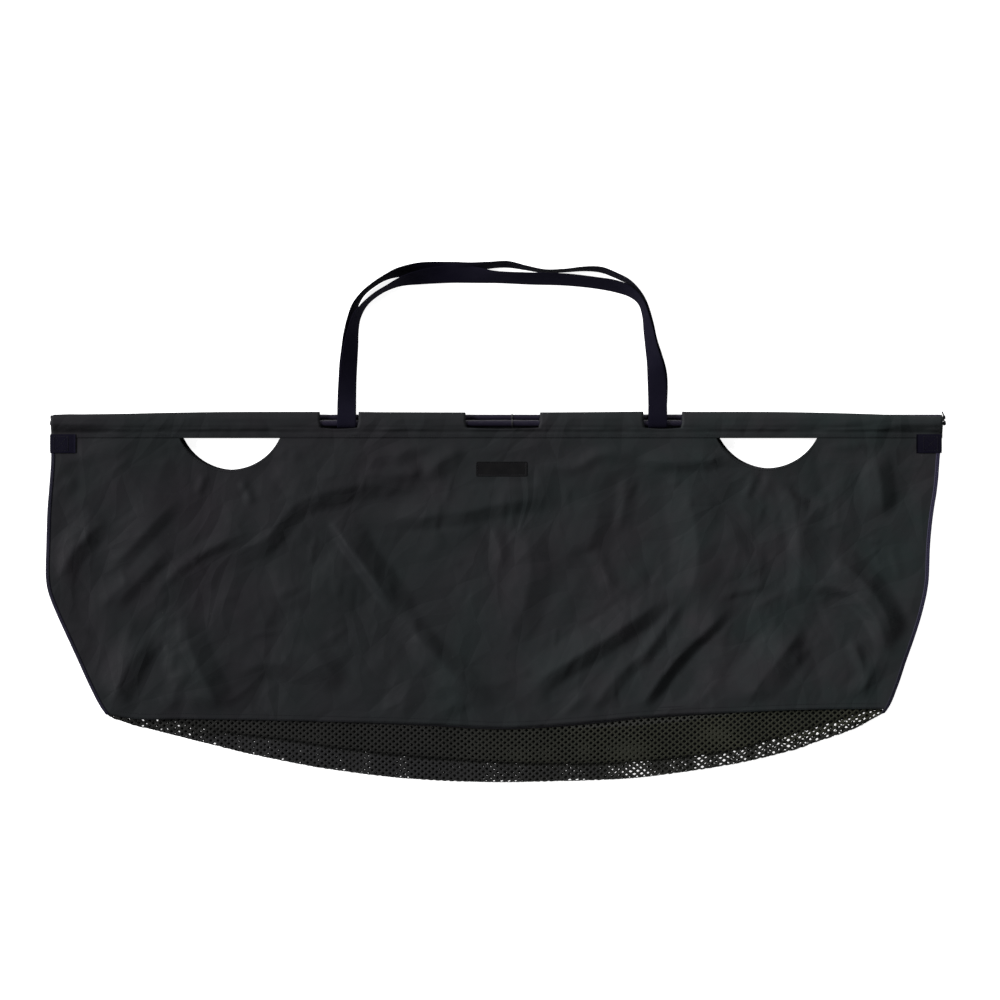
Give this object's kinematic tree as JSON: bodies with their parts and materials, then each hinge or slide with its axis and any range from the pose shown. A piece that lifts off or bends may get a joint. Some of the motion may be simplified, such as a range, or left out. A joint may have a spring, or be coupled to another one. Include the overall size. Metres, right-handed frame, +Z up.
{
  "type": "weigh sling",
  "caption": "Long cloth weigh sling for a fish, lying flat: two panels on poles, a folded net base, webbing handles, hand holes.",
  "frame": {"origin": "on the surface that the sling lies on, under the middle of its overall box", "axes": "+X along the poles, +Y from the net base towards the handles, +Z up from the surface"},
  "size_m": [1.218, 0.7077, 0.0271],
  "materials": {
    "cloth": "coated woven cloth, charcoal, soft sheen",
    "net": "knitted mesh, dark olive",
    "webbing": "woven webbing, near black",
    "tape": "narrow woven binding, blue-black",
    "pole": "dark glass-fibre tube, satin",
    "ferrule": "drawn tube",
    "cap": "moulded cap",
    "cord": "elastic cord in a braided cover",
    "label": "bare woven patch"
  },
  "bodies": {
    "back": {"back_panel": "cloth", "back_left_binding": "tape", "back_right_binding": "tape", "back_left_tab": "webbing", "back_right_tab": "webbing", "back_handle_left_loop": "webbing", "back_handle_right_loop": "webbing", "back_pole_tube_left": "pole", "back_pole_ferrule": "ferrule", "back_pole_shock_cord": "cord", "back_pole_cap_left": "cap", "back_pole_knot_left": "cord", "net_base": "net", "front_seam_tape": "tape", "back_seam_tape": "tape"},
    "front": {"front_panel": "cloth", "front_left_binding": "tape", "front_right_binding": "tape", "front_left_tab": "webbing", "front_right_tab": "webbing", "front_handle_left_loop": "webbing", "front_handle_right_loop": "webbing", "front_pole_tube_left": "pole", "front_pole_ferrule": "ferrule", "front_pole_shock_cord": "cord", "front_pole_cap_left": "cap", "front_pole_knot_left": "cord", "label": "label"},
    "front_handle": {"front_handle": "webbing"},
    "back_handle": {"back_handle": "webbing"},
    "front_pole_end": {"front_pole_tube_right": "pole", "front_pole_cap_right": "cap", "front_pole_knot_right": "cord"},
    "back_pole_end": {"back_pole_tube_right": "pole", "back_pole_cap_right": "cap", "back_pole_knot_right": "cord"}
  },
  "joints": [
    {"name": "mouth_open", "type": "hinge", "parent": "back", "child": "front", "pos_m": [0, -0.26515, 0.0097], "axis": [1, 0, 0], "range_deg": [0, 170]},
    {"name": "front_handle_swing", "type": "hinge", "parent": "front", "child": "front_handle", "pos_m": [0.00767, 0.13235, 0.0215], "axis": [1, 0, 0], "range_deg": [0, 175]},
    {"name": "back_handle_swing", "type": "hinge", "parent": "back", "child": "back_handle", "pos_m": [0.00767, 0.13235, 0.0215], "axis": [1, 0, 0], "range_deg": [0, 175]},
    {"name": "front_pole_pull", "type": "slide", "parent": "front", "child": "front_pole_end", "axis": [1, 0, 0], "range_m": [0, 0.045], "stiffness_N_per_m": 300, "springref_m": -0.02},
    {"name": "back_pole_pull", "type": "slide", "parent": "back", "child": "back_pole_end", "axis": [1, 0, 0], "range_m": [0, 0.045], "stiffness_N_per_m": 300, "springref_m": -0.02}
  ],
  "couplings": [
    {"joint": "back_handle_swing", "follows": "front_handle_swing", "ratio": 1}
  ]
}
